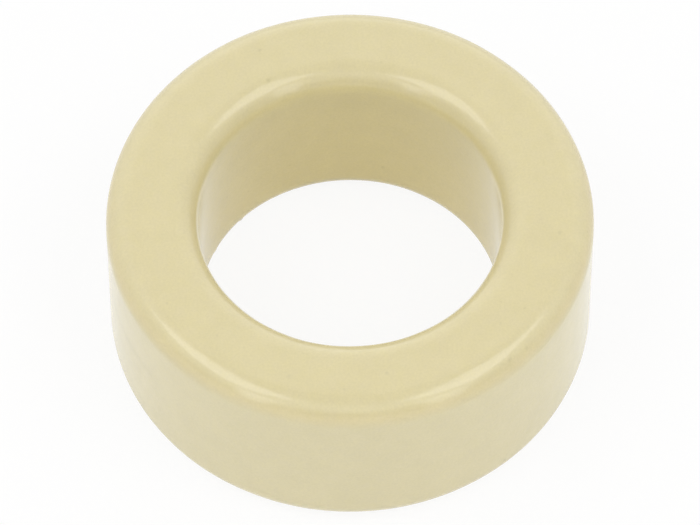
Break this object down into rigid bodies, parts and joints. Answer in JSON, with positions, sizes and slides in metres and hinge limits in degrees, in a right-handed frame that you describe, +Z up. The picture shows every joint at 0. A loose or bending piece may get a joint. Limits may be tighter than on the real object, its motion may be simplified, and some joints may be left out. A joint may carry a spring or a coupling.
{
  "type": "ferrite toroid core",
  "caption": "Squat ferrite ring core with a wide round bore, straight walls, flat faces and rounded edges, under a glossy cream coat.",
  "frame": {"origin": "centre of the ring's lower face, on the bore's axis, in the plane that the core rests on", "axes": "+Z up along the bore's axis; X and Y lie across the ring, which is the same all round"},
  "size_m": [0.0364, 0.0364, 0.0153],
  "materials": {
    "coat": "glossy epoxy coat with a slight orange peel and a few pinpoint specks"
  },
  "bodies": {
    "root": {"toroid_core": "coat"}
  },
  "joints": []
}
